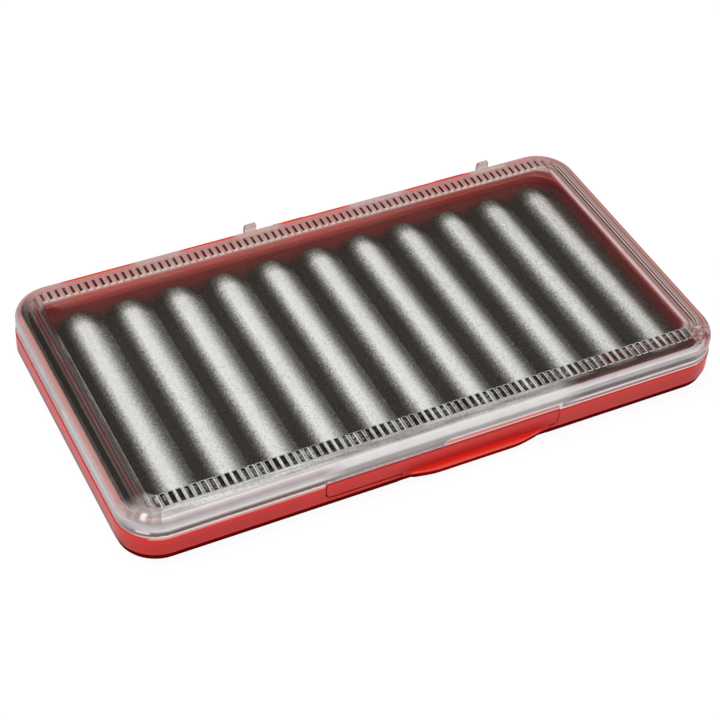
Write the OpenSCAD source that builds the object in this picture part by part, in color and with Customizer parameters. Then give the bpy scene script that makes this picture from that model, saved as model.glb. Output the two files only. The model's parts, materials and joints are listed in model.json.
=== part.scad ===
// Slim fly box: a red tray with a ridged foam pad, a clear hinged lid and a front latch.
// Millimetres. +X is the case's width, +Y points to the hinge, +Z is up.
// The origin is on the table, under the middle of the closed case with its hinge and latch lip.

/* [Case] */
// Width of the case
case_w = 186; // [150:1:220]
// Depth of the case, without its hinge and latch lip
case_d = 100; // [90:1:130]
// Height of the closed case
case_h = 16.2; // [15.5:0.1:20]
// Height of the tray's rim
tray_h = 8.7; // [8.4:0.1:9.5]
// Radius of the case's corners, seen from above
corner_r = 12; // [10:0.5:16]

/* [Tray] */
// Thickness of the tray's walls
tray_wall = 1.6; // [1.4:0.1:1.8]
// Thickness of the tray's floor
tray_floor = 1.4; // [1:0.1:1.8]
// Height of the sloping foot under the tray's walls
foot_h = 2.7; // [1.5:0.1:3]
// How far the foot slopes in
foot_in = 0.9; // [0.4:0.1:1.2]
// Rounding of the rim's outer edge
rim_r = 0.3; // [0.2:0.1:0.5]

/* [Lid] */
// Step from the tray's face in to the lid's face
lid_step = 0.25; // [0.1:0.05:0.5]
// Thickness of the lid's side walls
lid_wall = 2.6; // [2.3:0.1:3]
// Thickness of the lid's top
lid_top = 1.6; // [1.4:0.1:2]
// Radius that rolls the lid's walls into its top
lid_roll_r = 3; // [2:0.1:4]
// Radius inside that roll
lid_inner_r = 1.2; // [0.8:0.1:1.6]
// Gap between the tray's rim and the lid's lower edge
seam_gap = 0.1; // [0.05:0.05:0.3]
// How far the lid's skirt reaches down inside the rim
skirt_h = 1.4; // [1:0.1:2]
// Gap between the skirt and the tray's wall
skirt_gap = 0.15; // [0.1:0.05:0.3]

/* [Grip band] */
// Distance of the grooved band from the lid's face
band_margin = 3.7; // [3.2:0.1:5]
// Width of the grooved band
band_w = 5.1; // [4:0.1:6]
// Spacing of the grooves
groove_pitch = 2.3; // [2:0.1:3]
// Width of one groove
groove_w = 1.8; // [1.4:0.1:1.9]
// Depth of one groove
groove_depth = 0.6; // [0.3:0.1:0.8]
// Length of the slope at each groove's front end
groove_slope = 2.3; // [1:0.1:3]

/* [Hinge] */
// Distance from the case's ends to the hinge's ends
hinge_inset = 18; // [14:0.5:30]
// Radius of the slim knuckles
knuckle_r = 2.15; // [1.9:0.05:2.6]
// How far the stout stretches stand out over the slim knuckles
stout_step = 0.3; // [0.1:0.05:0.6]
// Gap between the stout stretches and the tray's rear face
hinge_gap = 0.15; // [0.1:0.05:0.5]
// Radius of the hinge pins
pin_r = 0.75; // [0.6:0.05:0.9]
// Radial gap between a pin and the lid's knuckles
pin_run = 0.07; // [0.03:0.01:0.1]
// Radial gap between a pin and the tray's knuckles
pin_seat = 0.02; // [0.01:0.01:0.04]
// Gap between neighbouring knuckles
knuckle_gap = 0.2; // [0.1:0.05:0.4]
// Length of a stout stretch
stout_l = 10; // [8:0.5:12]
// Width of the lugs on the lid's knuckles
lug_w = 3.8; // [3:0.1:5]
// Thickness of the lugs
lug_t = 1.2; // [1:0.1:1.5]
// Height of the lugs above the hinge axis
lug_h = 5.5; // [4:0.1:6]
// Distance of the lugs from their knuckle's left end
lug_in = 4; // [2:0.5:6]

/* [Latch] */
// Width of the latch's opening in the front wall
latch_w = 73.4; // [60:0.2:90]
// Height of that opening's lower edge
latch_z = 3.6; // [3.2:0.1:4]
// Radius of that opening's lower corners
latch_corner_r = 2; // [1:0.1:2.5]
// How far the latch stands above the tray's rim
latch_rise = 0.5; // [0.2:0.1:0.8]
// Gap between the latch and the opening
latch_gap = 0.2; // [0.15:0.05:0.3]
// Radius of the barrel that turns on the latch pin
latch_barrel_r = 1.25; // [1.1:0.05:1.3]
// Radius of the latch pin
latch_pin_r = 0.5; // [0.4:0.05:0.6]
// Radial gap between the latch and its pin
latch_run = 0.05; // [0.03:0.01:0.1]
// How deep the pin's ends sit in the tray's bosses
latch_boss_l = 3; // [2:0.5:5]
// How far the thumb lip stands out of the front
lip_out = 1.6; // [1:0.1:2.2]
// Length of the thumb lip
lip_w = 47; // [36:1:56]
// Distance of the lip from the latch's right end
lip_side = 2.8; // [1:0.1:10]
// Length of the lip's curved ends
lip_end = 12; // [6:0.5:16]
// Width of the finger notch that ends over the latch's right end
notch_w = 37.5; // [30:0.5:45]
// Height of the finger notch
notch_h = 1.9; // [1.2:0.1:2.2]

/* [Foam] */
// Spacing of the ridges
ridge_pitch = 15.3; // [13:0.1:15.6]
// Distance of the middle ridge from the case's middle
ridge_x = 2.6; // [0:0.1:3]
// Radius of a ridge's round back
ridge_r = 5.6; // [4:0.1:6.5]
// Height of the ridges' backs above the table
ridge_top = 8.3; // [7.5:0.1:8.4]
// Thickness of the pad between its ridges
pad_t = 2.5; // [2:0.1:3]
// Gap between the pad and the tray's side walls
pad_gap = 0.3; // [0.2:0.1:1]
// Gap between the pad and the latch's barrel, and the same behind the pad
pad_clear = 0.65; // [0.4:0.05:2]
// Thickness of the adhesive sheet under the pad
glue_t = 0.3; // [0.1:0.1:0.5]
// How far the adhesive stays inside the pad's edge
glue_in = 4; // [2:0.5:10]
// Flat stretch at each end of the ridges
ridge_end = 2.1; // [1:0.1:8]
// Radius that rolls the ridges down at their ends
ridge_roll_r = 4; // [2:0.5:4]

/* [Hidden] */
$fn = 64;
tiny = 0.01;

// Knuckle ends as shares of the hinge, from left to right: tray and lid take turns, the tray first
knuckle_share = [0, 0.154, 0.25, 0.371, 0.467, 0.627, 0.754, 0.914, 1];
knuckle_count = len(knuckle_share) - 1;
hinge_w = case_w - 2 * hinge_inset;
knuckle_x = [for (s = knuckle_share) (s - 0.5) * hinge_w];
// The lid's knuckles that carry a lug, and the tray's knuckle where the two pins meet
lug_knuckles = [3, 7];
meeting_knuckle = 4;
pin_split_x = (knuckle_x[meeting_knuckle] + knuckle_x[meeting_knuckle + 1]) / 2;
pin_split_gap = 0.4;
pin_in = 0.3;

front_y = -case_d / 2;
rear_y = case_d / 2;
stout_r = knuckle_r + stout_step;
axis_out = stout_r + hinge_gap;
axis_y = rear_y + axis_out;
axis_z = tray_h + seam_gap;
case_y = (lip_out - axis_out - stout_r) / 2;

lid_z = tray_h + seam_gap;
lid_w = case_w - 2 * lid_step;
lid_d = case_d - 2 * lid_step;
lid_r = corner_r - lid_step;
lid_h = case_h - lid_z;
hollow_h = lid_h + skirt_h + 1 - lid_top;
skirt_in = tray_wall + skirt_gap;
band_w_out = lid_w / 2 - band_margin;
band_d_out = lid_d / 2 - band_margin;
band_r = lid_r - band_margin;
groove_reach = band_w_out - band_w;
groove_count = floor(groove_reach / groove_pitch);
side_grooves = floor((band_w_out - groove_w / 2) / groove_pitch) - groove_count;

barrel_in = 0.15;
latch_y = front_y + latch_barrel_r + barrel_in;
latch_axis_z = latch_z + latch_gap + 0.05 + latch_barrel_r;
latch_half = latch_w / 2 - latch_gap - 0.1;
lip_x = latch_half - lip_side - lip_w / 2;
notch_x = (latch_w - notch_w) / 2;
latch_pin_half = latch_w / 2 + latch_boss_l - 0.7;
pin_end_gap = 0.2;
latch_edge_r = 0.5;
lip_z = 0.3;
lip_top_z = 4.8;
lip_edge_z = 3.1;
lip_behind = 0.05;
lip_back = 0.3;
lip_pocket = 1;
catch_h = 0.6;
catch_out = 0.1;

pad_z = tray_floor + glue_t;
pad_top = pad_z + pad_t;
pad_gap_y = max(pad_gap, barrel_in + 2 * latch_barrel_r - tray_wall + pad_clear);
pad_w = case_w - 2 * tray_wall - 2 * pad_gap;
pad_d = case_d - 2 * tray_wall - 2 * pad_gap_y;
pad_r = corner_r - tray_wall - pad_gap;
ridge_l = pad_d - 2 * ridge_end;
ridge_count = floor(pad_w / ridge_pitch);

// Rounded rectangle about the middle of the case
module plan(w, d, r) {
    square([w - 2 * r, d], center = true);
    square([w, d - 2 * r], center = true);
    for (x = [-1, 1], y = [-1, 1])
        translate([x * (w / 2 - r), y * (d / 2 - r)])
            circle(r);
}

module slab(w, d, r, z, h) {
    translate([0, 0, z])
        linear_extrude(h)
            plan(w, d, r);
}

// Solid on a rounded rectangle; its child draws the wall's profile from a corner's centre outward
module rolled_slab(w, d, r, h) {
    cx = w / 2 - r;
    cy = d / 2 - r;
    translate([-cx, -cy, 0])
        cube([2 * cx, 2 * cy, h]);
    for (corner = [[cx, cy, 0], [-cx, cy, 90], [-cx, -cy, 180], [cx, -cy, 270]])
        translate([corner[0], corner[1], 0])
            rotate(corner[2])
                rotate_extrude(angle = 90)
                    children();
    for (side = [[-cx, cy, 2 * cx, 0], [-cx, -cy, 2 * cy, 90], [cx, -cy, 2 * cx, 180], [cx, cy, 2 * cy, 270]])
        translate([side[0], side[1], 0])
            rotate(side[3])
                rotate([90, 0, 90])
                    linear_extrude(side[2])
                        children();
}

// Wall profile with a round upper edge
module round_top(r, h, edge) {
    square([r, h - edge]);
    square([r - edge, h]);
    translate([r - edge, h - edge])
        circle(edge);
}

// A part of the case, placed so that the origin is under the middle of the whole object
module placed() {
    translate([0, case_y, 0])
        children();
}

// Rod along X from x0 to x1 about the hinge axis
module hinge_rod(x0, x1, r) {
    translate([x0, axis_y, axis_z])
        rotate([0, 90, 0])
            cylinder(r = r, h = x1 - x0);
}

// Rod along X from x0 to x1 about the latch's axis
module latch_rod(x0, x1, r) {
    translate([x0, latch_y, latch_axis_z])
        rotate([0, 90, 0])
            cylinder(r = r, h = x1 - x0);
}

function knuckle_start(i) = knuckle_x[i] + (i == 0 ? 0 : knuckle_gap / 2);
function knuckle_end(i) = knuckle_x[i + 1] - (i == knuckle_count - 1 ? 0 : knuckle_gap / 2);

// ---------- tray ----------

module tray_shell() {
    difference() {
        rolled_slab(case_w, case_d, corner_r, tray_h)
            intersection() {
                round_top(corner_r, tray_h, rim_r);
                polygon([
                    [0, 0],
                    [corner_r - foot_in, 0],
                    [corner_r, foot_h],
                    [corner_r, tray_h],
                    [0, tray_h]
                ]);
            }
        slab(case_w - 2 * tray_wall, case_d - 2 * tray_wall, corner_r - tray_wall, tray_floor, tray_h);
    }
}

// Tray knuckles stand on a web below the hinge axis
module tray_knuckle(i) {
    x0 = knuckle_start(i);
    x1 = knuckle_end(i);
    hinge_rod(x0, x1, knuckle_r);
    translate([x0, rear_y - tray_wall / 2, axis_z - knuckle_r])
        cube([x1 - x0, axis_out + tray_wall / 2, tray_h - axis_z + knuckle_r]);
}

module stout_knuckles() {
    hinge_rod(knuckle_start(4), knuckle_start(4) + stout_l, stout_r);
    hinge_rod(knuckle_end(6) - stout_l, knuckle_end(6), stout_r);
}

module latch_bosses() {
    for (side = [-1, 1])
        translate([side * (latch_w + latch_boss_l) / 2, latch_y, latch_axis_z])
            intersection() {
                union() {
                    rotate([0, 90, 0])
                        cylinder(r = latch_barrel_r, h = latch_boss_l, center = true);
                    translate([-latch_boss_l / 2, -latch_barrel_r, tray_floor / 2 - latch_axis_z])
                        cube([latch_boss_l, 2 * latch_barrel_r, latch_axis_z - tray_floor / 2]);
                }
                translate([-latch_boss_l, -latch_barrel_r / 2, -latch_axis_z])
                    cube([2 * latch_boss_l, 2 * latch_barrel_r, case_h]);
            }
}

// Outline of the latch or its opening, seen from the front
module latch_outline(w, z0, z1, r) {
    translate([-w / 2, z0 + r])
        square([w, z1 - z0 - r]);
    translate([-w / 2 + r, z0])
        square([w - 2 * r, r + tiny]);
    for (side = [-1, 1])
        translate([side * (w / 2 - r), z0 + r])
            circle(r);
}

module latch_opening() {
    translate([0, front_y + tray_wall + tiny, 0])
        rotate([90, 0, 0])
            linear_extrude(tray_wall + 1)
                latch_outline(latch_w, latch_z, case_h, latch_corner_r);
    translate([lip_x - lip_w / 2 - latch_gap, front_y - 1, -1])
        cube([lip_w + 2 * latch_gap, 1 + lip_pocket, latch_z + 1 + tiny]);
}

module base_tray() {
    color("firebrick")
        placed()
            difference() {
                union() {
                    difference() {
                        tray_shell();
                        latch_opening();
                    }
                    for (i = [0:2:knuckle_count - 1])
                        tray_knuckle(i);
                    stout_knuckles();
                    latch_bosses();
                }
                hinge_rod(knuckle_x[0] - 1, knuckle_x[knuckle_count] + 1, pin_r + pin_seat);
                latch_rod(-latch_pin_half - pin_end_gap, latch_pin_half + pin_end_gap,
                          latch_pin_r + pin_seat);
            }
}

// ---------- lid ----------

module lid_shell() {
    difference() {
        union() {
            translate([0, 0, lid_z])
                rolled_slab(lid_w, lid_d, lid_r, lid_h)
                    round_top(lid_r, lid_h, lid_roll_r);
            translate([0, 0, lid_z - skirt_h])
                slab(case_w - 2 * skirt_in, case_d - 2 * skirt_in, corner_r - skirt_in, 0, skirt_h + tiny);
        }
        translate([0, 0, lid_z - skirt_h - 1])
            rolled_slab(lid_w - 2 * lid_wall, lid_d - 2 * lid_wall, lid_r - lid_wall, hollow_h)
                round_top(lid_r - lid_wall, hollow_h, lid_inner_r);
    }
}

// Half the length of a groove at x that runs to the band's round outer corner
function groove_half(x) =
    let (past = max(0, x - band_w_out + band_r))
    band_d_out - band_r + sqrt(band_r * band_r - past * past);

// One V groove along Y at x, from y0 to y1, with sloping ends
module groove(x, y0, y1) {
    intersection() {
        translate([x, y1 + 1, case_h])
            rotate([90, 0, 0])
                linear_extrude(y1 - y0 + 2)
                    polygon([
                        [-groove_w / 2, 0],
                        [0, -groove_depth],
                        [groove_w / 2, 0],
                        [groove_w / 2, 1],
                        [-groove_w / 2, 1]
                    ]);
        translate([x - groove_w, 0, case_h])
            rotate([90, 0, 90])
                linear_extrude(2 * groove_w)
                    polygon([
                        [y0, 0],
                        [y0 + groove_slope, -groove_depth],
                        [y1 - groove_depth, -groove_depth],
                        [y1, 0],
                        [y1, 1],
                        [y0, 1]
                    ]);
    }
}

module grip_band() {
    for (k = [-groove_count:groove_count]) {
        x = k * groove_pitch;
        y1 = groove_half(abs(x));
        groove(x, band_d_out - band_w, y1);
        groove(x, -y1, band_w - band_d_out);
    }
    for (side = [-1, 1], k = [1:side_grooves]) {
        x = (groove_count + k) * groove_pitch;
        groove(side * x, -groove_half(x), groove_half(x));
    }
}

module lid_knuckle(i) {
    x0 = knuckle_start(i);
    x1 = knuckle_end(i);
    hinge_rod(x0, x1, knuckle_r);
    translate([x0, rear_y - lid_step - lid_wall / 2, axis_z + seam_gap])
        cube([x1 - x0, axis_out + lid_step + lid_wall / 2, knuckle_r - seam_gap]);
}

module lug(i) {
    x0 = knuckle_x[i] + lug_in;
    translate([x0, axis_y - lug_t / 3, axis_z + pin_r + 0.5])
        cube([lug_w, lug_t, lug_h - pin_r - 0.5 - lug_w / 4]);
    translate([x0 + lug_w / 4, axis_y - lug_t / 3, axis_z + pin_r + 0.5])
        cube([lug_w * 3 / 4, lug_t, lug_h - pin_r - 0.5]);
    translate([x0 + lug_w / 4, axis_y - lug_t / 3 + lug_t, axis_z + lug_h - lug_w / 4])
        rotate([90, 0, 0])
            cylinder(r = lug_w / 4, h = lug_t);
}

// Room for the latch's top under the lid's lower edge
module latch_relief() {
    translate([-latch_w / 2, front_y - 1, lid_z - tiny])
        cube([latch_w, 1 + skirt_in, latch_rise + tiny]);
}

module finger_notch() {
    translate([notch_x, front_y + skirt_in, lid_z])
        rotate([90, 0, 0])
            linear_extrude(skirt_in + 1)
                polygon([
                    [-notch_w / 2, -tiny],
                    [-notch_w / 2 + notch_h, notch_h],
                    [notch_w / 2, notch_h],
                    [notch_w / 2, -tiny]
                ]);
}

// Shallow groove in the skirt for the latch's catch
module catch_groove() {
    translate([-latch_half, front_y + skirt_in - 1, tray_h - 0.3 - catch_h])
        cube([2 * latch_half, 1 + catch_out, catch_h]);
}

module lid() {
    color("gainsboro", 0.35)
        placed()
            difference() {
                union() {
                    difference() {
                        lid_shell();
                        grip_band();
                        latch_relief();
                        finger_notch();
                        catch_groove();
                    }
                    for (i = [1:2:knuckle_count - 1])
                        lid_knuckle(i);
                    for (i = lug_knuckles)
                        lug(i);
                }
                hinge_rod(knuckle_x[0] - 1, knuckle_x[knuckle_count] + 1, pin_r + pin_run);
            }
}

// ---------- hinge pins ----------

module hinge_pin(x0, x1) {
    color("silver")
        placed()
            hinge_rod(x0, x1, pin_r);
}

module hinge_pin_left() {
    hinge_pin(knuckle_x[0] + pin_in, pin_split_x - pin_split_gap / 2);
}

module hinge_pin_right() {
    hinge_pin(pin_split_x + pin_split_gap / 2, knuckle_x[knuckle_count] - pin_in);
}

// ---------- latch ----------

// How far the lip stands out at a share t of its curved end
function lip_reach(t) = lip_behind + (lip_out - lip_behind) * (1 - cos(180 * t)) / 2;

// Outline of the lip from above, from its front to the line y = back, with its depth times k
module lip_outline(k, back) {
    steps = 12;
    polygon([
        for (i = [0:steps]) [lip_w / 2 - lip_end * i / steps, -k * lip_reach(i / steps)],
        for (i = [steps:-1:0]) [lip_end * i / steps - lip_w / 2, -k * lip_reach(i / steps)],
        [-lip_w / 2, k * back],
        [lip_w / 2, k * back]
    ]);
}

// The lip's front stands upright above the foot and slopes in with the foot below it
module thumb_lip() {
    slope = atan(foot_in / foot_h);
    intersection() {
        translate([lip_x, front_y, 0])
            linear_extrude(lip_top_z + 1)
                lip_outline(1, lip_back + 1);
        translate([lip_x, front_y, foot_h])
            rotate([slope, 0, 0])
                translate([0, 0, -2 * lip_top_z])
                    linear_extrude(4 * lip_top_z)
                        lip_outline(cos(slope), lip_back + 3);
        translate([lip_x - lip_w / 2 - 1, front_y, 0])
            rotate([90, 0, 90])
                linear_extrude(lip_w + 2)
                    difference() {
                        polygon([
                            [lip_back, lip_z],
                            [-lip_out - 0.5, lip_z],
                            [-lip_out - 0.5, lip_edge_z],
                            [-lip_out, lip_edge_z],
                            [-lip_behind, lip_top_z],
                            [lip_back, lip_top_z]
                        ]);
                        translate([-lip_out - 0.1, lip_top_z + 0.1])
                            circle(lip_top_z - lip_edge_z);
                    }
    }
}

// Panel and barrel, trimmed to the opening's outline
module latch_panel() {
    bottom = latch_z + latch_gap;
    top = tray_h + latch_rise;
    intersection() {
        rotate([90, 0, 0])
            linear_extrude(case_d)
                latch_outline(2 * latch_half, bottom, top, latch_corner_r);
        union() {
            latch_rod(-latch_half, latch_half, latch_barrel_r);
            translate([-latch_half, front_y, 0])
                rotate([90, 0, 90])
                    linear_extrude(2 * latch_half) {
                        translate([0, bottom + latch_edge_r])
                            square([tray_wall, top - bottom - latch_edge_r]);
                        translate([latch_edge_r, bottom])
                            square([tray_wall - latch_edge_r, latch_edge_r + tiny]);
                        translate([latch_edge_r, bottom + latch_edge_r])
                            circle(latch_edge_r);
                        translate([tray_wall - tiny, tray_h - 0.3 - catch_h])
                            square([catch_out + tiny, catch_h]);
                    }
        }
    }
}

module latch() {
    color("red")
        placed()
            difference() {
                union() {
                    latch_panel();
                    thumb_lip();
                }
                latch_rod(-latch_half - 1, latch_half + 1, latch_pin_r + latch_run);
            }
}

module latch_pin() {
    color("silver")
        placed()
            latch_rod(-latch_pin_half, latch_pin_half, latch_pin_r);
}

// ---------- foam ----------

module ridge(x) {
    translate([x, 0, ridge_top - ridge_r])
        rotate([90, 0, 0])
            cylinder(r = ridge_r, h = ridge_l, center = true);
}

// Side outline that rolls the ridges down to the pad at both ends
module ridge_side() {
    reach = ridge_l / 2 - ridge_roll_r;
    translate([-ridge_l / 2, 0])
        square([ridge_l, ridge_top - ridge_roll_r]);
    translate([-reach, 0])
        square([2 * reach, ridge_top]);
    for (side = [-1, 1])
        translate([side * reach, ridge_top - ridge_roll_r])
            circle(ridge_roll_r);
}

module ripple_foam_pad() {
    color("lightgray")
        placed()
            union() {
                slab(pad_w, pad_d, pad_r, pad_z, pad_t);
                intersection() {
                    for (k = [0:ridge_count - 1])
                        ridge(ridge_x + (k - (ridge_count - 1) / 2) * ridge_pitch);
                    translate([-case_w / 2, 0, 0])
                        rotate([90, 0, 90])
                            linear_extrude(case_w)
                                ridge_side();
                    slab(pad_w, pad_d, pad_r, pad_z, case_h);
                }
            }
}

module foam_adhesive_sheet() {
    color("khaki")
        placed()
            slab(pad_w - 2 * glue_in, pad_d - 2 * glue_in, pad_r - glue_in, tray_floor, glue_t);
}

base_tray();
lid();
hinge_pin_left();
hinge_pin_right();
latch();
latch_pin();
ripple_foam_pad();
foam_adhesive_sheet();
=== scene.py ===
"""A slim fly box: a red moulded tray, a clear hinged lid, a red latch and a pad of ridged foam.

The objects are in metres, in the CAD model's frame: +X along the width, +Y to the hinge, +Z up.
The sizes and places that are written here are in millimetres. The front, the rear, the left and
the right are the box's own, seen from the latch.
"""

import json
import math

import bmesh
import bpy
from mathutils import Matrix, Vector, noise


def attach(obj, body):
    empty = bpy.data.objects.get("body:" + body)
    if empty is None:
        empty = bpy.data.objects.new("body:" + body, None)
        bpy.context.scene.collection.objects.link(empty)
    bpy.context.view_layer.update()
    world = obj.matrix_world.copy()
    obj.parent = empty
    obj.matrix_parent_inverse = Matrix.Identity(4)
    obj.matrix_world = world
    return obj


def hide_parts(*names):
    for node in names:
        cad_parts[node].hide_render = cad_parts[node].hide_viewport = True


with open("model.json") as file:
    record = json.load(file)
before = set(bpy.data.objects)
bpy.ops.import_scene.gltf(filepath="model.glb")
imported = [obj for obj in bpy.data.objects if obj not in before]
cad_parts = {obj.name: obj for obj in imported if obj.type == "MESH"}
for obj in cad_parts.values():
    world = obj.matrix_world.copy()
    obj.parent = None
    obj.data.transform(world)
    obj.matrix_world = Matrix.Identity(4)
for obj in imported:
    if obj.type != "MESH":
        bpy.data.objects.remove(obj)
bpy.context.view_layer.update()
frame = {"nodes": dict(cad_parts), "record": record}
NODES = frame["nodes"]

MM = 0.001
WHITE = (1.0, 1.0, 1.0, 1.0)


# ---------- sizes that repeat the CAD model's ----------

CASE_W, CASE_D, CASE_H = 186.0, 100.0, 16.2
# The case's middle along Y
CASE_Y = -1.725
LID_STEP, CORNER_R = 0.25, 12.0
TRAY_FLOOR = 1.4
LIP_X = 10.1
NOTCH_W, NOTCH_H = 37.5, 1.9
GLUE_T, PAD_T = 0.3, 2.5
PAD_Z = TRAY_FLOOR + GLUE_T
PAD_D = 93.4
RIDGES, RIDGE_PITCH, RIDGE_X = 11, 15.3, 2.6
RIDGE_TOP, RIDGE_L = 8.3, 89.2
LAST_RIDGE = (RIDGES - 1) / 2

# The visual pad is 0.25 mm longer at each end than the CAD model's, and its thin border is
# stretched to the rear wall
PAD_W, PAD_R = 182.7, 10.35
BORDER_FROM, BORDER_MORE = 44.6, 1.6


# ---------- small helpers ----------

def smooth(t):
    t = max(0.0, min(1.0, t))
    return t * t * (3 - 2 * t)


def linear(r, g, b):
    """A colour given as 0 to 255 screen values, as linear light."""
    def one(c):
        c /= 255
        return c / 12.92 if c <= 0.04045 else ((c + 0.055) / 1.055) ** 2.4
    return (one(r), one(g), one(b), 1.0)


def make_object(name, verts, faces):
    mesh = bpy.data.meshes.new(name)
    mesh.from_pydata(verts, [], faces)
    mesh.validate()
    mesh.update()
    obj = bpy.data.objects.new(name, mesh)
    bpy.context.scene.collection.objects.link(obj)
    return obj


def smooth_by_angle(obj, degrees):
    """Smooth shading that keeps the edges sharper than this."""
    mesh = obj.data
    mesh.shade_smooth()
    mesh.set_sharp_from_angle(angle=math.radians(degrees))


class Tree:
    """Adds shader nodes and links to a material or a world with few words."""

    def __init__(self, owner):
        owner.use_nodes = True
        self.owner = owner
        self.tree = owner.node_tree
        self.tree.nodes.clear()

    def feed(self, socket, value):
        if isinstance(value, bpy.types.NodeSocket):
            self.tree.links.new(value, socket)
        else:
            socket.default_value = value

    def add(self, kind, inputs=None, **settings):
        node = self.tree.nodes.new(kind)
        for key, value in settings.items():
            setattr(node, key, value)
        for key, value in (inputs or {}).items():
            self.feed(node.inputs[key], value)
        return node

    # Numbers

    def math(self, operation, a, b=0.0, clamp=False):
        return self.add("ShaderNodeMath", {0: a, 1: b}, operation=operation, use_clamp=clamp).outputs[0]

    def plus(self, a, b):
        return self.math("ADD", a, b)

    def minus(self, a, b):
        return self.math("SUBTRACT", a, b)

    def times(self, first, *others):
        for other in others:
            first = self.math("MULTIPLY", first, other)
        return first

    def rest(self, share):
        """What a share leaves of 1."""
        return self.minus(1.0, share)

    def higher(self, a, b):
        return self.math("MAXIMUM", a, b)

    def lower(self, a, b):
        return self.math("MINIMUM", a, b)

    def size(self, value):
        return self.math("ABSOLUTE", value)

    def remap(self, value, low, high, to_low=0.0, to_high=1.0):
        node = self.add("ShaderNodeMapRange", {"Value": value, "From Min": low, "From Max": high,
                                               "To Min": to_low, "To Max": to_high})
        return node.outputs["Result"]

    def fade(self, value, span):
        """0 at a span's first number and before it, 1 at its second and past it."""
        return self.remap(value, *span)

    def number(self, factor, a, b):
        """A number between a and b."""
        return self.add("ShaderNodeMix", {0: factor, 2: a, 3: b}, data_type="FLOAT").outputs[0]

    def value_ramp(self, value, stops):
        """A number that follows stops of (place, number)."""
        colour = self.ramp(value, [(place, (n, n, n, 1.0)) for place, n in stops])
        return self.add("ShaderNodeSeparateColor", {"Color": colour}).outputs[0]

    def noise(self, vector, scale, detail=2.0, roughness=0.5):
        node = self.add("ShaderNodeTexNoise", {"Vector": vector, "Scale": scale, "Detail": detail,
                                               "Roughness": roughness})
        return node.outputs["Fac"]

    def unrest(self, noise_value, amount):
        """A noise's swing to both sides of 0."""
        return self.times(self.minus(noise_value, 0.5), amount)

    # Places

    def object_point(self):
        """Object coordinates, in metres."""
        return self.add("ShaderNodeTexCoord").outputs["Object"]

    def parts(self, vector):
        outputs = self.add("ShaderNodeSeparateXYZ", {"Vector": vector}).outputs
        return outputs["X"], outputs["Y"], outputs["Z"]

    def stretched(self, point, scales):
        return self.add("ShaderNodeMapping", {"Vector": point, "Scale": scales}).outputs[0]

    # Colours and shaders

    def ramp(self, value, stops):
        node = self.add("ShaderNodeValToRGB", {"Fac": value})
        ramp = node.color_ramp
        while len(ramp.elements) < len(stops):
            ramp.elements.new(0.5)
        for element, (place, colour) in zip(ramp.elements, stops):
            element.position = place
            element.color = colour
        return node.outputs["Color"]

    def blend(self, factor, a, b):
        """A colour between a and b."""
        return self.add("ShaderNodeMix", {0: factor, 6: a, 7: b}, data_type="RGBA").outputs[2]

    def bump(self, height, strength, distance, normal=None):
        node = self.add("ShaderNodeBump", {"Height": height, "Strength": strength, "Distance": distance})
        if normal is not None:
            self.feed(node.inputs["Normal"], normal)
        return node.outputs["Normal"]

    def shader(self, kind, **inputs):
        """A shader whose sockets are named with _ for each space."""
        node = self.add("ShaderNode" + kind)
        for key, value in inputs.items():
            self.feed(node.inputs[key.replace("_", " ")], value)
        return node.outputs[0]

    def mix(self, factor, a, b):
        """A shader between a and b."""
        return self.add("ShaderNodeMixShader", {0: factor, 1: a, 2: b}).outputs[0]

    def output(self, shader, kind="ShaderNodeOutputMaterial"):
        self.add(kind, {"Surface": shader})
        return self.owner


def material_tree(name):
    return Tree(bpy.data.materials.new(name))


class Place:
    """Where a point of the box lies, in millimetres, with Y from the case's middle."""

    def __init__(self, t):
        self.point = t.object_point()
        x, y, z = t.parts(self.point)
        self.x = t.times(x, 1000.0)
        self.y = t.minus(t.times(y, 1000.0), CASE_Y)
        self.z = t.times(z, 1000.0)

    def find_rim(self, t, half_w, half_d, radius):
        """How deep the point lies inside a rounded rectangle round the case's middle, and how
        much it belongs to the left and right ends, to the right half and to the rear half."""
        qx = t.minus(t.size(self.x), half_w - radius)
        qy = t.minus(t.size(self.y), half_d - radius)
        ox, oy = t.higher(qx, 0.0), t.higher(qy, 0.0)
        ox, oy = t.times(ox, ox), t.times(oy, oy)
        both = t.plus(ox, oy)
        within = t.lower(t.higher(qx, qy), 0.0)
        self.deep = t.minus(radius, t.plus(t.math("SQRT", both), within))
        # Inside the corners' centres the nearer side counts
        nearer = t.fade(t.minus(qx, qy), (-0.2, 0.2))
        across = t.math("DIVIDE", ox, t.plus(both, 0.0001))
        self.across = t.number(t.fade(both, (0.01, 0.0)), across, nearer)
        self.along = t.rest(self.across)
        self.right = t.fade(self.x, (-0.5, 0.5))
        self.rear = t.fade(self.y, (-0.5, 0.5))
        self.ahead = t.rest(self.rear)


# ---------- red plastic ----------

# Heights between which the red changes: painted light on its top, painted shade and no gloss at its foot
TOP_PAINTED_LIGHT, FOOT_SHADE_TOP = (5.5, 8.2), (2.3, 2.8)
# The thumb lip stands out of the front face; it is painted a lighter red as painted light, with a
# painted highlight line along its edge
LIP_OUT, LIP_HIGHLIGHT_LINE = (-0.12, -0.4), (3.45, 3.1)
# A painted highlight on the rim's top edge starts at these heights, left and right of the latch's left
# end
SHINE_LEFT, SHINE_RIGHT, SHINE_RISE = 8.2, 8.5, 0.2
SHINE_STEP, SHINE_BACK = (-37.0, -36.6), (1.9, 1.7)
SHINE_W = 2.0
# Painted shade darkens the inner wall below these heights, where it is lost in the foam's shade
SHADE_TOP, SHADE_IN, SHADE_UNREST = (6.8, 4.6), (1.4, 1.5), 1.2
# Painted shade darkens the left end's foot
END_SHADE_X, END_SHADE_TOP = (-91.6, -92.6), (4.4, 3.4)
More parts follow.
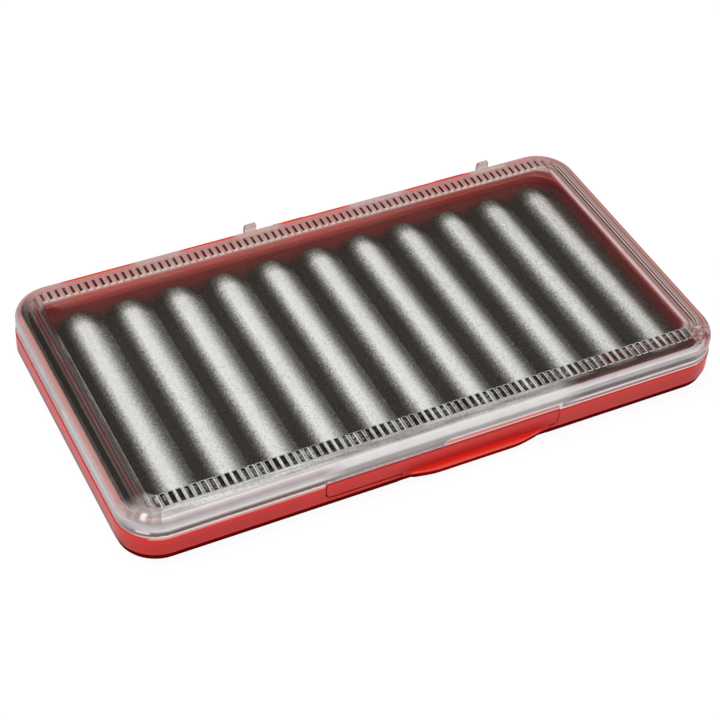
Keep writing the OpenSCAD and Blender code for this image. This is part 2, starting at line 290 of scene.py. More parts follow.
# The wall round the lip's root is matt
ROOT_HALF, ROOT_TOP, ROOT_BACK, ROOT_MATT = (27.0, 20.0), (7.8, 4.5), (0.8, 0.6), 0.6


def painted_rim_highlight(t, at):
    """The painted highlight on the rim's top edge, its colours from the front to its back."""
    gleam = t.ramp(t.remap(at.back, 0.0, SHINE_W), [
        (0.0, linear(190, 26, 20)),
        (0.1, linear(190, 30, 24)),
        (0.18, linear(244, 204, 196)),
        (0.3, linear(244, 204, 196)),
        (0.38, linear(214, 128, 126)),
        (0.8, linear(222, 150, 146)),
    ])
    return t.blend(t.fade(at.x, SHINE_STEP), linear(240, 164, 158), gleam)


def red_plastic():
    """Satin moulded plastic with a fine grain, with painted light on its top, lip and rim and painted
    shade low down.
    """
    t = material_tree("red_plastic")
    at = Place(t)
    at.find_rim(t, CASE_W / 2, CASE_D / 2, CORNER_R)
    # How far behind the case's front face
    at.back = t.plus(at.y, CASE_D / 2)
    cloud = t.noise(at.point, 60.0, 3.0)
    grain = t.noise(at.point, 2600.0)
    colour = t.blend(t.fade(cloud, (0.35, 0.65)), linear(206, 18, 14), linear(216, 24, 18))
    # Painted light: the wall is painted a lighter red toward its top
    colour = t.blend(t.fade(at.z, TOP_PAINTED_LIGHT), colour, linear(236, 28, 16))
    lip = t.fade(at.back, LIP_OUT)
    # Painted light: the lip is painted a lighter red, and a painted highlight line runs along its edge
    colour = t.blend(lip, colour, linear(255, 34, 12))
    colour = t.blend(t.times(lip, t.fade(at.z, LIP_HIGHLIGHT_LINE)), colour, linear(255, 104, 92))

    # Painted highlight along the rim's top edge
    start = t.number(t.fade(at.x, SHINE_STEP), SHINE_LEFT, SHINE_RIGHT)
    shine = t.math("DIVIDE", t.minus(at.z, start), SHINE_RISE, clamp=True)
    colour = t.blend(t.times(shine, t.fade(at.back, SHINE_BACK)), colour, painted_rim_highlight(t, at))

    # Painted shade on the inner wall low down, darker at the right end
    unrest = t.unrest(t.noise(at.point, 1500.0), SHADE_UNREST)
    shade = t.times(t.fade(t.plus(at.z, unrest), SHADE_TOP), t.fade(at.deep, SHADE_IN))
    inner_wall_painted_shade = t.blend(t.times(at.across, at.right), linear(158, 72, 68), linear(118, 56, 54))
    colour = t.blend(shade, colour, inner_wall_painted_shade)
    # Painted shade on the left end's foot
    end = t.times(t.fade(at.x, END_SHADE_X), t.fade(at.z, END_SHADE_TOP))
    colour = t.blend(end, colour, linear(112, 14, 14))

    edge = t.add("ShaderNodeBevel", {"Radius": 0.5 * MM}, samples=4).outputs[0]
    skin = t.shader("BsdfPrincipled", Base_Color=colour, Roughness=t.remap(grain, 0.3, 0.7, 0.28, 0.4),
                    Normal=t.bump(grain, 0.1, 0.04 * MM, edge), Specular_IOR_Level=0.44)
    # Under the wall's foot and behind the lip no gloss is left, and the foot's dark red is painted shade
    foot = t.blend(lip, t.blend(cloud, linear(104, 8, 10), linear(120, 12, 14)), linear(156, 12, 14))
    above = t.fade(at.z, FOOT_SHADE_TOP)
    wall = t.blend(lip, linear(196, 18, 12), colour)
    matt = t.shader("BsdfDiffuse", Color=t.blend(above, foot, wall), Roughness=0.5)
    root = t.times(t.fade(t.size(t.minus(at.x, LIP_X)), ROOT_HALF), t.fade(at.z, ROOT_TOP),
                   t.fade(at.back, ROOT_BACK))
    gloss = t.times(above, t.rest(t.times(root, ROOT_MATT)))
    return t.output(t.mix(gloss, matt, skin))


# ---------- clear plastic ----------

# Haze colours round the lid's rim with its painted light: painted highlights, the tray's red painted in
# as seen through it, and painted shade, as screen colours
HAZE_AND_PAINTED_TINTS = {
    "frost": (240, 238, 236), "pink": (224, 206, 212), "rose": (212, 172, 165),
    "blush": (200, 118, 110), "brown": (112, 86, 78), "olive": (106, 96, 88),
    "plum": (146, 74, 88), "dark": (52, 45, 41), "black": (34, 24, 21), "wine": (92, 52, 54),
    "tan": (146, 116, 110), "white": (255, 253, 250), "slate": (128, 124, 130),
}

# Haze round the lid's outer skin, with painted highlights, painted red and painted shade in it: stops of
# (height + distance in, share, tint)
SKIN_LOW, SKIN_REACH = 8.0, 24.0
SKIN = {
    "front_left": [
        (8.0, 0.3, "frost"), (8.6, 1.0, "white"), (9.25, 1.0, "white"), (9.6, 0.15, "rose"),
        (10.3, 0.08, "rose"), (10.9, 0.5, "frost"), (11.5, 1.0, "white"), (12.2, 0.9, "frost"),
        (13.2, 0.68, "frost"), (14.1, 0.68, "pink"), (15.0, 0.9, "pink"), (16.2, 1.0, "white"),
        (16.9, 0.95, "pink"), (17.3, 0.9, "white"), (19.2, 0.85, "white"), (19.9, 0.95, "white"),
        (20.3, 0.6, "frost"), (20.8, 0.4, "frost"), (24.5, 0.4, "frost"), (25.0, 0.0, "frost"),
    ],
    "front_middle": [
        (8.0, 0.3, "frost"), (8.6, 1.0, "white"), (9.2, 0.95, "white"), (9.6, 0.35, "pink"),
        (10.2, 0.25, "frost"), (11.5, 0.48, "frost"), (12.6, 0.5, "frost"), (13.1, 0.75, "frost"),
        (13.6, 1.0, "white"), (16.4, 1.0, "white"), (17.0, 0.75, "frost"), (19.2, 0.6, "frost"),
        (19.9, 0.7, "frost"), (20.3, 0.5, "frost"), (20.8, 0.35, "frost"), (24.5, 0.35, "frost"),
        (25.0, 0.0, "frost"),
    ],
    "front_right": [
        (8.0, 0.3, "frost"), (8.6, 1.0, "white"), (9.1, 1.0, "white"), (9.4, 0.9, "blush"),
        (9.9, 0.9, "blush"), (10.3, 1.0, "white"), (10.75, 1.0, "white"), (11.2, 0.6, "slate"),
        (12.2, 0.55, "slate"), (13.2, 0.7, "frost"), (14.1, 0.75, "pink"), (14.7, 1.0, "white"),
        (16.0, 1.0, "pink"), (16.6, 0.6, "pink"), (17.2, 0.15, "olive"), (19.9, 0.15, "olive"),
        (20.3, 0.4, "rose"), (20.8, 0.3, "rose"), (24.5, 0.4, "frost"), (25.0, 0.0, "frost"),
    ],
    "left": [
        (8.0, 0.1, "rose"), (8.9, 0.3, "rose"), (9.6, 0.45, "rose"), (10.3, 0.5, "pink"),
        (11.5, 0.55, "pink"), (12.5, 0.75, "pink"), (13.5, 0.85, "frost"), (14.2, 0.85, "pink"),
        (15.1, 0.75, "pink"), (16.2, 0.55, "rose"), (17.6, 0.5, "rose"), (18.1, 0.85, "dark"),
        (20.6, 0.7, "dark"), (20.9, 0.85, "olive"), (21.4, 0.85, "olive"), (21.75, 0.9, "dark"),
        (22.05, 0.9, "plum"), (22.2, 0.9, "plum"), (22.5, 0.9, "dark"), (22.95, 0.85, "olive"),
        (23.7, 0.85, "olive"), (24.0, 0.9, "dark"), (24.3, 0.9, "wine"), (24.6, 0.8, "dark"),
        (25.2, 0.0, "dark"),
    ],
    "right": [
        (8.0, 0.1, "rose"), (9.0, 0.3, "rose"), (13.2, 0.7, "blush"), (14.1, 0.75, "blush"),
        (14.9, 0.85, "rose"), (16.2, 0.85, "rose"), (17.0, 0.85, "blush"), (17.6, 0.8, "blush"),
        (18.0, 0.9, "rose"), (18.5, 0.9, "rose"), (18.8, 0.9, "tan"), (19.2, 0.9, "tan"),
        (19.5, 0.9, "rose"), (20.0, 0.9, "tan"), (20.35, 0.95, "pink"), (20.7, 0.9, "brown"),
        (20.9, 0.9, "brown"), (21.08, 0.95, "pink"), (21.25, 0.95, "rose"), (21.42, 1.0, "black"),
        (21.72, 1.0, "black"), (21.95, 0.95, "rose"), (22.4, 0.95, "rose"), (22.7, 0.9, "tan"),
        (22.95, 0.9, "tan"), (23.3, 0.95, "rose"), (23.7, 1.0, "pink"), (24.2, 0.95, "pink"),
        (24.7, 0.8, "blush"), (25.1, 0.4, "blush"), (25.6, 0.1, "blush"), (27.0, 0.0, "blush"),
    ],
    "rear": [
        (8.0, 0.1, "rose"), (9.0, 0.3, "rose"), (14.0, 0.75, "rose"), (16.2, 0.85, "rose"),
        (18.3, 0.8, "rose"), (19.5, 0.75, "rose"), (21.8, 0.7, "rose"), (22.4, 0.75, "rose"),
        (23.2, 0.9, "rose"), (24.3, 0.85, "rose"), (25.2, 0.7, "rose"), (25.7, 0.6, "blush"),
        (27.5, 0.4, "blush"), (29.0, 0.2, "blush"), (31.0, 0.0, "blush"),
    ],
}
# Along X the front's three profiles pass into each other here
LEFT_TO_MIDDLE, MIDDLE_TO_RIGHT = (-38.0, -30.0), (36.0, 44.0)

# Past the roll a groove's depth doesn't shift the haze's place
ROLL_END = (3.1, 3.2)
# Only the outer skin is hazy, and not the wall's inside
SKIN_IN, SKIN_TOP = (2.3, 2.0), (14.9, 15.2)

# Where the tray's red knuckles stand behind the lid, along X, and where their red is painted into its
# roll as seen through it
RED_KNUCKLES = [(-75.0, -51.9), (-37.5, -19.35), (-4.95, 19.05), (38.1, 62.1)]
KNUCKLE_MARGIN = 2.0
RED_TINT, RED_TINT_SHARE = (17.9, 18.2), 0.28
RED_LINE_FROM, RED_LINE_TO = (16.2, 16.5), (18.75, 18.4)

# The rear's painted red glow is weaker to the right
GLOW_FROM, GLOW_RIGHT, GLOW_LOSS = (25.0, 25.6), (15.0, 50.0), 0.7

# The front margin's haze is thinned in a speckle, so the foam's grain shows, and behind its roll in
# painted streaks, like the wall's inside seen through it
MARGIN_FROM, STREAK_FROM = (17.1, 17.5), (16.64, 17.6)
SPECKLE_SHARE, STREAK_SHARE = 0.24, 0.4

# The grip grooves: below the top face, inside the roll
GROOVE_TOP, GROOVE_LOW, GROOVE_IN = (16.18, 16.12), (15.2, 15.5), (3.3, 3.6)
# In front a groove has painted shade below its edges. At the rear only its lower part has, and in both
# rows the flank that faces right
FRONT_FLANK, REAR_FLANK, TURNED_FLANK = (16.08, 16.02), (15.84, 15.76), (16.1, 15.95)
TURNED = (0.25, 0.4)
# The rear's grooves end in a painted highlight, a pale triangle, which is lighter further in
SLOT_END, SLOT_PALE = (7.4, 8.0), (6.6, 7.8)
GROOVE_SHARE = 0.9
# To the right the painted shade on the front's flanks is browner
FLANK_BROWN = (30.0, 70.0)

# Where the thick corners' painted spot of light and painted gleam sit, from the case's middle
CORNER_SPOT, CORNER_REACH, CORNER_UNREST = (87.6, 46.2), 8.0, 1.4
CORNER_RISE = (13.6, 14.6)
GLEAM_OFF, GLEAM_LOW, GLEAM_HIGH = (0.34, 0.26), (10.0, 10.3), (11.5, 11.1)

# The finger notch's edge carries a painted highlight. It is painted from X 0, about 0.8 mm right of the
# notch itself, and its height is measured from just under the lid's lower edge.
NOTCH_Z = 8.75
NOTCH_EDGE, NOTCH_START, NOTCH_IN = (0.75, 0.6), (-0.2, 0.0), (1.4, 1.3)
NOTCH_END, NOTCH_SHARE = (NOTCH_W + 0.1, NOTCH_W - 0.1), 0.95

# The wall's inside, tinted below this height
WALL_TOP = (14.0, 13.0)


def skin_profile(t, skin, stops):
    """The haze's share and its tint along the skin, with its painted light and shade."""
    places = [(place - SKIN_LOW) / SKIN_REACH for place, share, tint in stops]
    share = t.value_ramp(skin, [(place, stop[1]) for place, stop in zip(places, stops)])
    tint = t.ramp(skin, [(place, linear(*HAZE_AND_PAINTED_TINTS[stop[2]])) for place, stop in zip(places, stops)])
    return share, tint


def blend_profiles(t, factor, first, second):
    return t.number(factor, first[0], second[0]), t.blend(factor, first[1], second[1])


def rim_haze(t, at):
    """The profiles of haze and painted light round the lid's rim, blended by side."""
    skin = t.remap(at.skin, SKIN_LOW, SKIN_LOW + SKIN_REACH)
    profiles = {name: skin_profile(t, skin, stops) for name, stops in SKIN.items()}
    front = blend_profiles(t, t.fade(at.x, LEFT_TO_MIDDLE), profiles["front_left"],
                           profiles["front_middle"])
    front = blend_profiles(t, t.fade(at.x, MIDDLE_TO_RIGHT), front, profiles["front_right"])
    ends = blend_profiles(t, at.right, profiles["left"], profiles["right"])
    return blend_profiles(t, at.across, blend_profiles(t, at.rear, front, profiles["rear"]), ends)


def add_painted_knuckles(t, at, haze, tint):
    """The red knuckles painted into the rear roll as seen through it, and a painted bright red line."""
    low = RED_KNUCKLES[0][0] - KNUCKLE_MARGIN
    span = RED_KNUCKLES[-1][1] + KNUCKLE_MARGIN - low
    stops = []
    for start, end in RED_KNUCKLES:
        stops += [(start - 1.5, 0.0), (start + 0.5, 1.0), (end - 2.5, 1.0), (end - 0.5, 0.0)]
    behind = t.value_ramp(t.remap(at.x, low, low + span),
                          [((place - low) / span, share) for place, share in stops])
    behind = t.times(behind, at.rear, at.along)
    # Painted red of the knuckles seen through the roll, and a painted bright line
    tinted = t.times(behind, t.fade(at.skin, RED_TINT), RED_TINT_SHARE)
    tint = t.blend(tinted, tint, linear(222, 92, 84))
    line = t.times(behind, t.fade(at.skin, RED_LINE_TO), t.fade(at.skin, RED_LINE_FROM))
    return t.higher(haze, line), t.blend(line, tint, linear(255, 50, 26))


def thin_haze(t, at, haze):
    """The haze where the rear's painted red glow fades, a cloudy swing and the front margin's speckle.
    """
    # Painted red glow at the rear, thinned to the right
    beyond = t.times(at.rear, t.fade(at.skin, GLOW_FROM), t.fade(at.x, GLOW_RIGHT), GLOW_LOSS)
    haze = t.times(haze, t.rest(beyond), at.outer)
    haze = t.times(haze, t.remap(t.noise(at.point, 160.0), 0.3, 0.7, 0.93, 1.07))
    speckle = t.remap(t.noise(at.point, 1400.0), 0.4, 0.6, SPECKLE_SHARE, 0.0)
    speckle = t.times(speckle, t.fade(at.skin, MARGIN_FROM), at.ahead, at.along)
    return t.times(haze, t.rest(speckle))


def groove_painted_light_masks(t, at):
    """Where the grip grooves get painted highlights and where they get painted shade."""
    facing = t.parts(t.add("ShaderNodeTexCoord").outputs["Normal"])[0]
    carved = t.times(t.fade(at.z, GROOVE_TOP), t.fade(at.deep, GROOVE_IN),
                     t.fade(at.z, GROOVE_LOW), at.along)
    flank = t.number(at.rear, t.fade(at.z, FRONT_FLANK), t.fade(at.z, REAR_FLANK))
    turned = t.times(t.fade(facing, TURNED), t.fade(at.z, TURNED_FLANK))
    ended = t.times(at.rear, t.fade(at.deep, SLOT_END))
    dark = t.times(carved, t.higher(turned, flank), t.rest(ended))
    return t.times(carved, t.rest(dark)), dark


def add_groove_painted_light(t, at, tint, pale, dark):
    # Painted highlights on the grooves' pale parts, painted shade on their dark flanks
    rear_pale = t.blend(t.fade(at.deep, SLOT_PALE), linear(206, 156, 150), linear(232, 218, 206))
    tint = t.blend(pale, tint, t.blend(at.rear, linear(250, 247, 242), rear_pale))
    brown = t.higher(at.rear, t.fade(at.x, FLANK_BROWN))
    return t.blend(dark, tint, t.blend(brown, linear(22, 18, 16), linear(62, 38, 32)))


def add_painted_corner_light(t, at, haze, tint):
    """A painted spot of light in each front corner, with a rosy ring, and a painted gleam lower down."""
    corner = t.add("ShaderNodeCombineXYZ", {
        "X": t.minus(t.size(at.x), CORNER_SPOT[0]),
        "Y": t.minus(t.size(at.y), CORNER_SPOT[1]),
    }).outputs[0]
    off = t.add("ShaderNodeVectorMath", {0: corner}, operation="LENGTH").outputs["Value"]
    off = t.plus(off, t.unrest(t.noise(at.point, 420.0), CORNER_UNREST))
    off = t.remap(off, 0.0, CORNER_REACH)
    # Painted spot of light in each front corner
    spot = t.times(at.ahead, at.outer, t.fade(at.z, CORNER_RISE), t.value_ramp(off, [
        (0.0, 1.0), (0.08, 1.0), (0.13, 0.75), (0.3, 0.7), (0.56, 0.7), (0.62, 0.0)]))
    ring = t.ramp(off, [
        (0.0, linear(255, 255, 252)),
        (0.08, linear(255, 252, 248)),
        (0.13, linear(206, 160, 156)),
        (0.22, linear(168, 146, 140)),
        (0.34, linear(206, 190, 184)),
        (0.5, linear(190, 158, 152)),
        (0.56, linear(186, 142, 138)),
        (0.64, linear(170, 140, 134)),
    ])
    # To the right the painted spot breaks up into painted red and white glints
    painted_glints = t.ramp(t.noise(at.point, 620.0, 1.0), [
        (0.38, linear(168, 70, 70)),
        (0.46, linear(206, 150, 148)),
        (0.54, linear(170, 140, 136)),
        (0.6, linear(246, 236, 234)),
    ])
    tint = t.blend(spot, tint, t.blend(at.right, ring, painted_glints))
    haze = t.higher(haze, t.times(spot, t.number(at.right, 1.0, 0.8)))
    # Painted gleam lower down in each front corner
    gleam = t.times(t.fade(off, GLEAM_OFF), t.fade(at.z, GLEAM_LOW), t.fade(at.z, GLEAM_HIGH),
                    at.ahead, t.number(at.right, 0.9, 0.3))
    return t.higher(haze, gleam), t.blend(gleam, tint, linear(255, 252, 248))


def add_notch_highlight(t, at, haze, tint):
    """A painted highlight on the finger notch's edge, as bright as the parting edge's."""
    rise = t.times(t.remap(at.x, 0.0, NOTCH_H), NOTCH_H)
    above = t.minus(at.z, t.plus(rise, NOTCH_Z))
    edge = t.times(t.fade(above, NOTCH_EDGE), t.fade(at.x, NOTCH_START), t.fade(at.x, NOTCH_END),
                   at.ahead, t.fade(at.deep, NOTCH_IN))
    return t.higher(haze, t.times(edge, NOTCH_SHARE)), t.blend(edge, tint, linear(252, 244, 240))


def clear_plastic():
    """Clear moulded plastic: a polished window, hazier walls and rolls with painted light and shade, a
    painted highlight on the parting edge.
    """
    t = material_tree("clear_plastic")
    at = Place(t)
    at.find_rim(t, CASE_W / 2 - LID_STEP, CASE_D / 2 - LID_STEP, CORNER_R - LID_STEP)
    at.skin = t.plus(t.number(t.fade(at.deep, ROLL_END), at.z, CASE_H), at.deep)
    at.outer = t.higher(t.fade(at.deep, SKIN_IN), t.fade(at.z, SKIN_TOP))

    # Haze with painted highlights, painted red and painted shade round the rim
    haze, tint = rim_haze(t, at)
    haze, tint = add_painted_knuckles(t, at, haze, tint)
    haze = thin_haze(t, at, haze)
    # Painted highlights and painted shade on the grip grooves
    pale, dark = groove_painted_light_masks(t, at)
    haze = t.higher(haze, t.times(t.higher(pale, dark), GROOVE_SHARE))
    # Painted streaks, like the wall's inside seen through the roll, thin the haze
    streak = t.noise(t.stretched(at.point, (60.0, 900.0, 900.0)), 1.0, 3.0)
    streak = t.times(t.remap(streak, 0.42, 0.62, 0.0, STREAK_SHARE), at.ahead,
                     t.fade(at.skin, STREAK_FROM), at.along)
    haze = t.times(haze, t.rest(streak))
    tint = add_groove_painted_light(t, at, tint, pale, dark)
    haze, tint = add_painted_corner_light(t, at, haze, tint)
    haze, tint = add_notch_highlight(t, at, haze, tint)

    normal = t.bump(t.noise(at.point, 45.0), 0.1, 0.3 * MM)
    wall = t.times(t.rest(at.outer), t.fade(at.z, WALL_TOP))
    glass = t.shader("BsdfPrincipled", Base_Color=t.blend(wall, WHITE, (0.62, 0.47, 0.45, 1.0)),
                     Roughness=0.02, IOR=1.52, Transmission_Weight=1.0, Normal=normal)
    gloss = t.shader("BsdfPrincipled", Base_Color=tint, Roughness=0.2, IOR=1.4, Normal=normal)
    chalk = t.shader("BsdfDiffuse", Color=tint, Normal=normal)
    # The right end and the rear shine less than the front
    milk = t.mix(t.higher(t.times(at.across, at.right), t.times(at.rear, 0.9)), gloss, chalk)
    # Light falls through the lid unhindered
    clear = t.shader("BsdfTransparent", Color=WHITE)
    shadow = t.add("ShaderNodeLightPath").outputs["Is Shadow Ray"]
    return t.output(t.mix(shadow, t.mix(haze, glass, milk), clear))


# ---------- foam ----------

# Painted light and shade: how fast a ridge's right and left flanks grow dark, and how far left of its
# back that starts
RIGHT_FLANK_FALLOFF, LEFT_FLANK_FALLOFF, LEFT_FALLOFF_FROM = 0.62, 1.55, 1.2
# Where the ridges' tips begin to fade, in from their front and rear ends, and where painted shade
# darkens them toward the rear wall
FRONT_TIP, REAR_TIP, REAR_TIP_SHARE = 7.5, 11.0, 0.35
REAR_TIP_SHADE = (RIDGE_L / 2 - 8.8, RIDGE_L / 2 - 1.2)
# How far from a ridge's back its tone runs from dark to light
RIDGE_TONE = (6.0, 0.4)
# How far the painted red glow, as of light from the red walls, reaches in, at the rear and at the right
# end
REAR_PAINTED_GLOW, RIGHT_PAINTED_GLOW = 9.0, 4.5


def foam_tone(t, at, fine, grain):
    """How light the foam is: 0 in the valleys, 1 on the ridges' backs, with painted light and shade and
    a speckle.
    """
    along = t.math("DIVIDE", t.minus(at.x, RIDGE_X), RIDGE_PITCH)
    ridge = t.higher(t.lower(t.math("ROUND", along), LAST_RIDGE), -LAST_RIDGE)
    across = t.times(t.minus(along, ridge), RIDGE_PITCH)
    past = t.higher(t.minus(t.times(at.y, -1.0), RIDGE_L / 2 - FRONT_TIP), 0.0)
    behind = t.higher(t.minus(at.y, RIDGE_L / 2 - REAR_TIP), 0.0)
    past = t.plus(past, t.times(behind, REAR_TIP_SHARE))
    # Painted light: the right flanks are painted lighter than the left ones, as if they caught more
    # light
    right_falloff = t.times(t.higher(across, 0.0), RIGHT_FLANK_FALLOFF)
    left_falloff = t.times(t.lower(t.plus(across, LEFT_FALLOFF_FROM), 0.0), LEFT_FLANK_FALLOFF)
    across = t.plus(right_falloff, left_falloff)
    off = t.math("SQRT", t.plus(t.times(across, across), t.times(past, past)))
    # Painted shade: the tone dims toward the right end and toward the rear wall
    tone = t.times(t.fade(off, RIDGE_TONE), t.remap(at.x, 0.0, 90.0, 1.0, 0.86),
                   t.remap(at.y, *REAR_TIP_SHADE, 1.0, 0.25))
    for speck, amount in ((fine, 0.62), (grain, 0.36), (t.noise(at.point, 25.0), 0.12)):
        tone = t.plus(tone, t.unrest(speck, amount))
    return tone


def foam():
    """Ripple foam: pale backs, charcoal valleys and a fine grain between them, with painted shade and a
    painted red glow.
    """
    t = material_tree("ripple_foam")
    at = Place(t)
    at.find_rim(t, PAD_W / 2, PAD_D / 2 + BORDER_MORE, PAD_R)
    fine = t.noise(at.point, 2000.0, 1.0, 0.6)
    grain = t.noise(at.point, 1300.0, 2.0, 0.6)
    colour = t.ramp(foam_tone(t, at, fine, grain), [
        (0.0, linear(56, 51, 46)),
        (0.12, linear(70, 65, 58)),
        (0.25, linear(88, 84, 77)),
        (0.47, linear(130, 129, 122)),
        (0.72, linear(204, 206, 200)),
        (1.0, linear(255, 255, 252)),
    ])
    # A painted red glow, as of light thrown by the red walls, lies on its borders, but not at the left
    # end
    right_end = t.times(at.across, at.right)
    glow = t.rest(t.math("DIVIDE", at.deep, t.number(right_end, REAR_PAINTED_GLOW, RIGHT_PAINTED_GLOW)))
    glow = t.plus(glow, t.unrest(fine, 0.8))
    glow = t.times(t.remap(glow, 0.1, 1.0, 0.0, 0.92), t.rest(t.times(at.across, t.rest(at.right))))
    colour = t.blend(glow, colour, t.blend(right_end, linear(152, 74, 68), linear(128, 56, 52)))
    return t.output(t.shader("BsdfPrincipled", Base_Color=colour, Roughness=0.9,
                             Normal=t.bump(grain, 0.25, 0.2 * MM), Specular_IOR_Level=0.08))


# ---------- steel and adhesive ----------

def pin_steel():
    """Drawn steel wire with fine lines along it."""
    t = material_tree("pin_steel")
    lines = t.noise(t.stretched(t.object_point(), (40.0, 4000.0, 4000.0)), 1.0, 3.0)
    return t.output(t.shader("BsdfPrincipled", Base_Color=(0.56, 0.56, 0.57, 1.0), Metallic=1.0,
                             Roughness=t.remap(lines, 0.3, 0.7, 0.25, 0.45),
                             Normal=t.bump(lines, 0.2, 0.03 * MM)))


def adhesive():
    """Milky double-sided film."""
    t = material_tree("adhesive_film")
    blotch = t.noise(t.object_point(), 140.0, 3.0)
    colour = t.blend(blotch, linear(196, 184, 150), linear(222, 212, 184))
    return t.output(t.shader("BsdfPrincipled", Base_Color=colour, Roughness=0.6,
                             Normal=t.bump(blotch, 0.3, 0.2 * MM)))


MATERIALS = {
    "red_plastic": red_plastic(),
    "clear_plastic": clear_plastic(),
    "pin_steel": pin_steel(),
    "foam": foam(),
    "adhesive": adhesive(),
}


def finish_piece(obj, slot_name):
    obj.data.materials.clear()
    obj.data.materials.append(MATERIALS[slot_name])


# ---------- pieces ----------

# The foam's mesh: its step, and how its rim drops and its top rolls
FOAM_STEP = 0.7
RIM_DROP, RIM_ROUND = 0.15, 0.9
ROLL_HEIGHT, ROLL_X, ROLL_Y = 0.07, 0.9, 0.35
# Half a ridge's width, and how its profile and its ends bulge
RIDGE_HALF = 7.2
PROFILE_POWER, END_POWER = 0.7, 0.6
END_PAST, END_LENGTH = 0.6, 5.0


def foam_height(x, y):
    """Height of the pad's top above the table."""
    base = PAD_Z + PAD_T
    k = round((x - RIDGE_X) / RIDGE_PITCH)
    k = max(-LAST_RIDGE, min(LAST_RIDGE, k))
    across = abs(x - RIDGE_X - k * RIDGE_PITCH)
    share = 0.5 + 0.5 * math.cos(math.pi * min(across, RIDGE_HALF) / RIDGE_HALF)
    end = smooth((RIDGE_L / 2 + END_PAST - abs(y)) / END_LENGTH)
    return base + (RIDGE_TOP - base) * share ** PROFILE_POWER * end ** END_POWER


def foam_vertex(x, y):
    """The pad's top at a grid point, pulled in where that lies outside a round corner."""
    cx, cy = PAD_W / 2 - PAD_R, PAD_D / 2 - PAD_R
    dx, dy = max(0, abs(x) - cx), max(0, abs(y) - cy)
    far = math.hypot(dx, dy)
    in_corner = dx > 0 and dy > 0
    if in_corner and far > PAD_R:
        x = math.copysign(cx + dx * PAD_R / far, x)
        y = math.copysign(cy + dy * PAD_R / far, y)
    rim = min(PAD_W / 2 - abs(x), PAD_D / 2 - abs(y))
    if in_corner:
        rim = min(rim, PAD_R - far)
    z = foam_height(x, y)
    z -= RIM_DROP * (1 - smooth(rim / RIM_ROUND))
    z += ROLL_HEIGHT * noise.noise(Vector((x * ROLL_X, y * ROLL_Y, 0.0)))
    stretch = BORDER_MORE * max(0.0, y - BORDER_FROM) / (PAD_D / 2 - BORDER_FROM)
    return (x * MM, (y + stretch + CASE_Y) * MM, z * MM)


def build_foam():
    nx, ny = int(PAD_W / FOAM_STEP), int(PAD_D / FOAM_STEP)
    verts, faces, index = [], [], {}
    for j in range(ny + 1):
        for i in range(nx + 1):
            index[i, j] = len(verts)
            verts.append(foam_vertex(-PAD_W / 2 + PAD_W * i / nx, -PAD_D / 2 + PAD_D * j / ny))
    for j in range(ny):
        for i in range(nx):
            faces.append((index[i, j], index[i + 1, j], index[i + 1, j + 1], index[i, j + 1]))
    # The sides go straight down to the adhesive
    loop = [index[i, 0] for i in range(nx)] + [index[nx, j] for j in range(ny)]
    loop += [index[i, ny] for i in range(nx, 0, -1)] + [index[0, j] for j in range(ny, 0, -1)]
    low = []
    for v in loop:
        low.append(len(verts))
        verts.append((verts[v][0], verts[v][1], PAD_Z * MM))
    for a in range(len(loop)):
        b = (a + 1) % len(loop)
        faces.append((loop[b], loop[a], low[a], low[b]))
    faces.append(tuple(reversed(low)))
    obj = make_object("ripple_foam", verts, faces)
    bm = bmesh.new()
    bm.from_mesh(obj.data)
    bmesh.ops.remove_doubles(bm, verts=bm.verts, dist=1e-6)
    bmesh.ops.recalc_face_normals(bm, faces=bm.faces)
    bm.to_mesh(obj.data)
    bm.free()
    smooth_by_angle(obj, 50)
    finish_piece(obj, "foam")
    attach(obj, "tray")
    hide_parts("ripple_foam_pad")


def dress_cad():
    """Gives each CAD node but the replaced foam its material and an even shading."""
    slots = {s["node"]: s["material_slot"] for s in frame["record"]["subparts"]}
    for name, obj in NODES.items():
        if name == "ripple_foam_pad":
            continue
        finish_piece(obj, slots[name])
        smooth_by_angle(obj, 24)
        even = obj.modifiers.new("even_shading", "WEIGHTED_NORMAL")
        even.keep_sharp = True


build_foam()
dress_cad()


# ---------- floor, light and camera ----------

# Half the floor's width, in metres, and how far it lies below the table's level, so that it
# doesn't share a plane with the box's underside
FLOOR_HALF, FLOOR_DROP = 6.0, 0.1
FLOOR_GLOW, FLOOR_GLOW_SHARE, FLOOR_MIRRORED = 1.08, 0.85, 0.9

# The world: its light, and the heights between which the mirrored sky fades
WORLD_LIGHT = 0.34
SKY_WHITE, SKY_DARK, SKY_TONE = 0.1, 0.5, 0.06

# The camera that fits the photograph's outline, ridges and band. Angles are in degrees.
AZIMUTH, ELEVATION, ROLL = -29.272, 43.262, 4.173
CAMERA_DISTANCE = 551.57
CAMERA_TARGET = (-6.02, -8.735 + CASE_Y, 8.267)
SENSOR_W, FOCAL_PX, IMAGE_PX = 36.0, 1912.2, 720


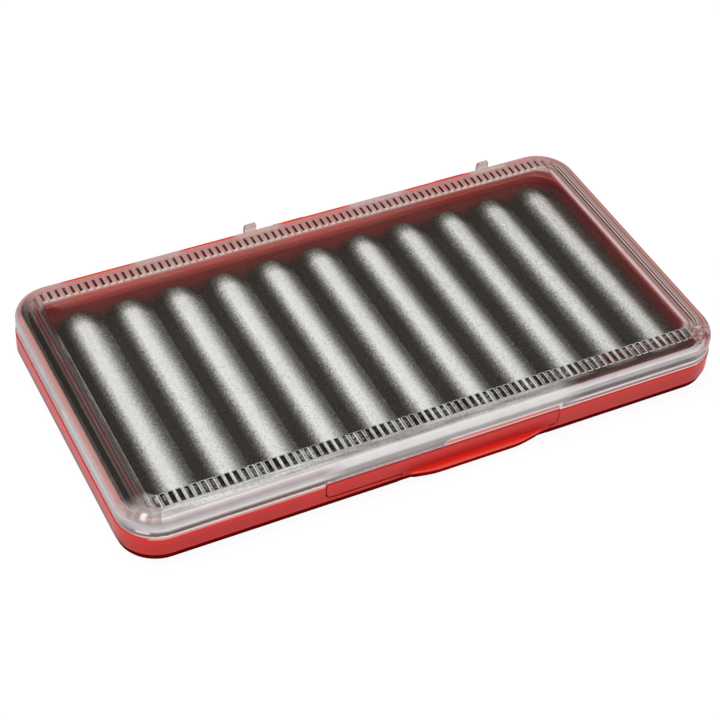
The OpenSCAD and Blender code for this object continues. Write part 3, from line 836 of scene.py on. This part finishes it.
def build_stage():
    low = -FLOOR_DROP * MM
    corners = [(-1, -1), (1, -1), (1, 1), (-1, 1)]
    floor = make_object("floor", [(x * FLOOR_HALF, y * FLOOR_HALF, low) for x, y in corners],
                        [(0, 1, 2, 3)])
    t = material_tree("floor_paint")
    path = t.add("ShaderNodeLightPath").outputs
    paint = t.shader("BsdfDiffuse", Color=(0.8, 0.8, 0.8, 1.0))
    glow = t.shader("Emission", Color=WHITE, Strength=FLOOR_GLOW)
    seen = t.higher(path["Is Camera Ray"], path["Is Transmission Ray"])
    surface = t.mix(t.times(seen, FLOOR_GLOW_SHARE), paint, glow)
    mirrored = t.shader("Emission", Color=WHITE, Strength=FLOOR_MIRRORED)
    surface = t.mix(path["Is Glossy Ray"], surface, mirrored)
    # From below the floor doesn't hide the box
    below = t.add("ShaderNodeNewGeometry").outputs["Backfacing"]
    surface = t.mix(below, surface, t.shader("BsdfTransparent", Color=WHITE))
    floor.data.materials.append(t.output(surface))


def build_world():
    """White to the camera, a plain light on the box, and a sky that darkens upwards in what
    the box mirrors."""
    world = bpy.data.worlds.new("studio")
    bpy.context.scene.world = world
    t = Tree(world)
    path = t.add("ShaderNodeLightPath").outputs
    up = t.parts(t.add("ShaderNodeTexCoord").outputs["Generated"])[2]
    sky = t.ramp(up, [(SKY_WHITE, WHITE), (SKY_DARK, (SKY_TONE, SKY_TONE, SKY_TONE, 1.0))])
    mirrored = t.shader("Background", Color=sky)
    lit = t.shader("Background", Color=WHITE, Strength=WORLD_LIGHT)
    seen = t.shader("Background", Color=WHITE, Strength=1.0)
    bounced = t.higher(path["Is Glossy Ray"], path["Is Transmission Ray"])
    surface = t.mix(path["Is Camera Ray"], t.mix(bounced, lit, mirrored), seen)
    t.output(surface, "ShaderNodeOutputWorld")


def area_lamp(name, place, size, power):
    """A lamp that faces the frame's origin. Its place and size are in metres."""
    data = bpy.data.lights.new(name, "AREA")
    data.shape = "RECTANGLE"
    data.size, data.size_y = size
    data.energy = power
    lamp = bpy.data.objects.new(name, data)
    bpy.context.scene.collection.objects.link(lamp)
    lamp.location = place
    lamp.rotation_euler = (-Vector(place)).to_track_quat("-Z", "Y").to_euler()


def build_camera():
    azimuth, elevation, roll = map(math.radians, (AZIMUTH, ELEVATION, ROLL))
    back = Vector((math.sin(azimuth) * math.cos(elevation),
                   -math.cos(azimuth) * math.cos(elevation),
                   math.sin(elevation)))
    right = (-back).cross(Vector((0, 0, 1))).normalized()
    up = right.cross(-back)
    x_axis = right * math.cos(roll) + up * math.sin(roll)
    y_axis = -right * math.sin(roll) + up * math.cos(roll)
    place = (Vector(CAMERA_TARGET) + back * CAMERA_DISTANCE) * MM
    data = bpy.data.cameras.new("camera")
    data.sensor_width = SENSOR_W
    data.lens = FOCAL_PX / IMAGE_PX * SENSOR_W
    data.clip_start = 10 * MM
    camera = bpy.data.objects.new("camera", data)
    bpy.context.scene.collection.objects.link(camera)
    camera.matrix_world = Matrix((
        (x_axis.x, y_axis.x, back.x, place.x),
        (x_axis.y, y_axis.y, back.y, place.y),
        (x_axis.z, y_axis.z, back.z, place.z),
        (0, 0, 0, 1),
    ))
    bpy.context.scene.camera = camera


build_stage()
build_world()
area_lamp("top_lamp", (-0.2, 0.2, 0.9), (0.8, 0.6), 3.8)
area_lamp("front_lamp", (-0.4, -0.8, 0.65), (0.8, 0.5), 3.1)
build_camera()
bpy.context.scene.view_settings.view_transform = "Standard"
